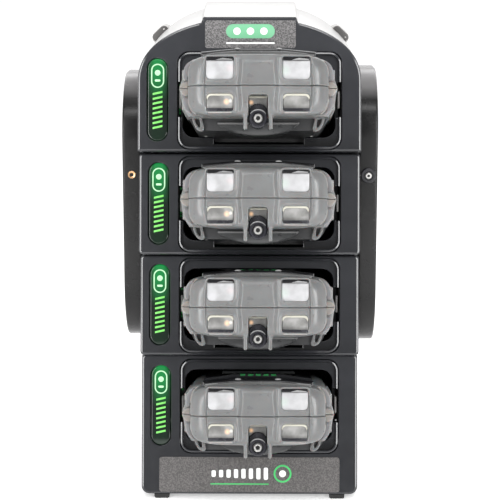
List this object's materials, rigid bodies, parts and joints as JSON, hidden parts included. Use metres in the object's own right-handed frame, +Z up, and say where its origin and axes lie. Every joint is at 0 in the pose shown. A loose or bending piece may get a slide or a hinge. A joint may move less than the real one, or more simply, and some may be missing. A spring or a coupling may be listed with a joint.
{
  "type": "docked multi-gas detectors in a charging tower",
  "caption": "Tower dock with tilted stacked bays, arched top and side covers; each bay holds a slide-out portable gas detector with pump inlet, screen, keys and belt clip.",
  "frame": {"origin": "bottom centre of the bounding box, on the plane the feet stand on", "axes": "+X to the right of someone facing the front, +Y from the front to the back, +Z up"},
  "size_m": [0.1568, 0.2154, 0.3005],
  "materials": {
    "frame": "semi-gloss charcoal, moulded",
    "cradle": "satin near-black, moulded",
    "status_light": "dark green lens, lit from behind",
    "case_grey": "smoky translucent grey over moulded plastic",
    "screen": "glossy black window",
    "light_guide": "milky clear",
    "dark_fitting": "semi-gloss black",
    "clip_steel": "brushed sheet",
    "key": "matte",
    "plate": "fine speckled grey",
    "housing": "fine texture, charcoal",
    "shell": "smooth off-white",
    "cover": "fine texture, dark grey",
    "brass": "machined",
    "board": "solder mask",
    "foot": "matte"
  },
  "bodies": {
    "tower": {"base_frame": "frame", "base_cradle": "cradle", "base_status_light": "status_light", "lower_frame": "frame", "lower_cradle": "cradle", "lower_status_light": "status_light", "upper_frame": "frame", "upper_cradle": "cradle", "upper_status_light": "status_light", "top_frame": "frame", "top_cradle": "cradle", "top_status_light": "status_light", "top_badge": "plate", "name_plate": "plate", "rear_housing": "housing", "top_shell": "shell", "left_side_cover": "cover", "right_side_cover": "cover", "gas_inlet_insert": "brass", "gas_outlet_port": "dark_fitting", "charging_board": "board", "power_jack": "dark_fitting", "left_foot": "foot", "right_foot": "foot"},
    "base_detector": {"base_detector_front_case": "case_grey", "base_detector_rear_case": "case_grey", "base_detector_screen": "screen", "base_detector_light_guide": "light_guide", "base_detector_pump_inlet": "dark_fitting", "base_detector_belt_clip": "clip_steel"},
    "base_detector_left_key": {"base_detector_left_key": "key"},
    "base_detector_middle_key": {"base_detector_middle_key": "key"},
    "base_detector_right_key": {"base_detector_right_key": "key"},
    "lower_detector": {"lower_detector_front_case": "case_grey", "lower_detector_rear_case": "case_grey", "lower_detector_screen": "screen", "lower_detector_light_guide": "light_guide", "lower_detector_pump_inlet": "dark_fitting", "lower_detector_belt_clip": "clip_steel"},
    "lower_detector_left_key": {"lower_detector_left_key": "key"},
    "lower_detector_middle_key": {"lower_detector_middle_key": "key"},
    "lower_detector_right_key": {"lower_detector_right_key": "key"},
    "upper_detector": {"upper_detector_front_case": "case_grey", "upper_detector_rear_case": "case_grey", "upper_detector_screen": "screen", "upper_detector_light_guide": "light_guide", "upper_detector_pump_inlet": "dark_fitting", "upper_detector_belt_clip": "clip_steel"},
    "upper_detector_left_key": {"upper_detector_left_key": "key"},
    "upper_detector_middle_key": {"upper_detector_middle_key": "key"},
    "upper_detector_right_key": {"upper_detector_right_key": "key"},
    "top_detector": {"top_detector_front_case": "case_grey", "top_detector_rear_case": "case_grey", "top_detector_screen": "screen", "top_detector_light_guide": "light_guide", "top_detector_pump_inlet": "dark_fitting", "top_detector_belt_clip": "clip_steel"},
    "top_detector_left_key": {"top_detector_left_key": "key"},
    "top_detector_middle_key": {"top_detector_middle_key": "key"},
    "top_detector_right_key": {"top_detector_right_key": "key"}
  },
  "joints": [
    {"name": "base_detector_slide", "type": "slide", "parent": "tower", "child": "base_detector", "axis": [0, -0.9799, 0.1994], "range_m": [0, 0.1]},
    {"name": "base_detector_left_key_press", "type": "slide", "parent": "base_detector", "child": "base_detector_left_key", "axis": [0, -0.1994, -0.9799], "range_m": [0, 0.0008], "stiffness_N_per_m": 1500},
    {"name": "base_detector_middle_key_press", "type": "slide", "parent": "base_detector", "child": "base_detector_middle_key", "axis": [0, -0.1994, -0.9799], "range_m": [0, 0.0008], "stiffness_N_per_m": 1500},
    {"name": "base_detector_right_key_press", "type": "slide", "parent": "base_detector", "child": "base_detector_right_key", "axis": [0, -0.1994, -0.9799], "range_m": [0, 0.0008], "stiffness_N_per_m": 1500},
    {"name": "lower_detector_slide", "type": "slide", "parent": "tower", "child": "lower_detector", "axis": [0, -0.9799, 0.1994], "range_m": [0, 0.1]},
    {"name": "lower_detector_left_key_press", "type": "slide", "parent": "lower_detector", "child": "lower_detector_left_key", "axis": [0, -0.1994, -0.9799], "range_m": [0, 0.0008], "stiffness_N_per_m": 1500},
    {"name": "lower_detector_middle_key_press", "type": "slide", "parent": "lower_detector", "child": "lower_detector_middle_key", "axis": [0, -0.1994, -0.9799], "range_m": [0, 0.0008], "stiffness_N_per_m": 1500},
    {"name": "lower_detector_right_key_press", "type": "slide", "parent": "lower_detector", "child": "lower_detector_right_key", "axis": [0, -0.1994, -0.9799], "range_m": [0, 0.0008], "stiffness_N_per_m": 1500},
    {"name": "upper_detector_slide", "type": "slide", "parent": "tower", "child": "upper_detector", "axis": [0, -0.9799, 0.1994], "range_m": [0, 0.1]},
    {"name": "upper_detector_left_key_press", "type": "slide", "parent": "upper_detector", "child": "upper_detector_left_key", "axis": [0, -0.1994, -0.9799], "range_m": [0, 0.0008], "stiffness_N_per_m": 1500},
    {"name": "upper_detector_middle_key_press", "type": "slide", "parent": "upper_detector", "child": "upper_detector_middle_key", "axis": [0, -0.1994, -0.9799], "range_m": [0, 0.0008], "stiffness_N_per_m": 1500},
    {"name": "upper_detector_right_key_press", "type": "slide", "parent": "upper_detector", "child": "upper_detector_right_key", "axis": [0, -0.1994, -0.9799], "range_m": [0, 0.0008], "stiffness_N_per_m": 1500},
    {"name": "top_detector_slide", "type": "slide", "parent": "tower", "child": "top_detector", "axis": [0, -0.9799, 0.1994], "range_m": [0, 0.1]},
    {"name": "top_detector_left_key_press", "type": "slide", "parent": "top_detector", "child": "top_detector_left_key", "axis": [0, -0.1994, -0.9799], "range_m": [0, 0.0008], "stiffness_N_per_m": 1500},
    {"name": "top_detector_middle_key_press", "type": "slide", "parent": "top_detector", "child": "top_detector_middle_key", "axis": [0, -0.1994, -0.9799], "range_m": [0, 0.0008], "stiffness_N_per_m": 1500},
    {"name": "top_detector_right_key_press", "type": "slide", "parent": "top_detector", "child": "top_detector_right_key", "axis": [0, -0.1994, -0.9799], "range_m": [0, 0.0008], "stiffness_N_per_m": 1500}
  ]
}
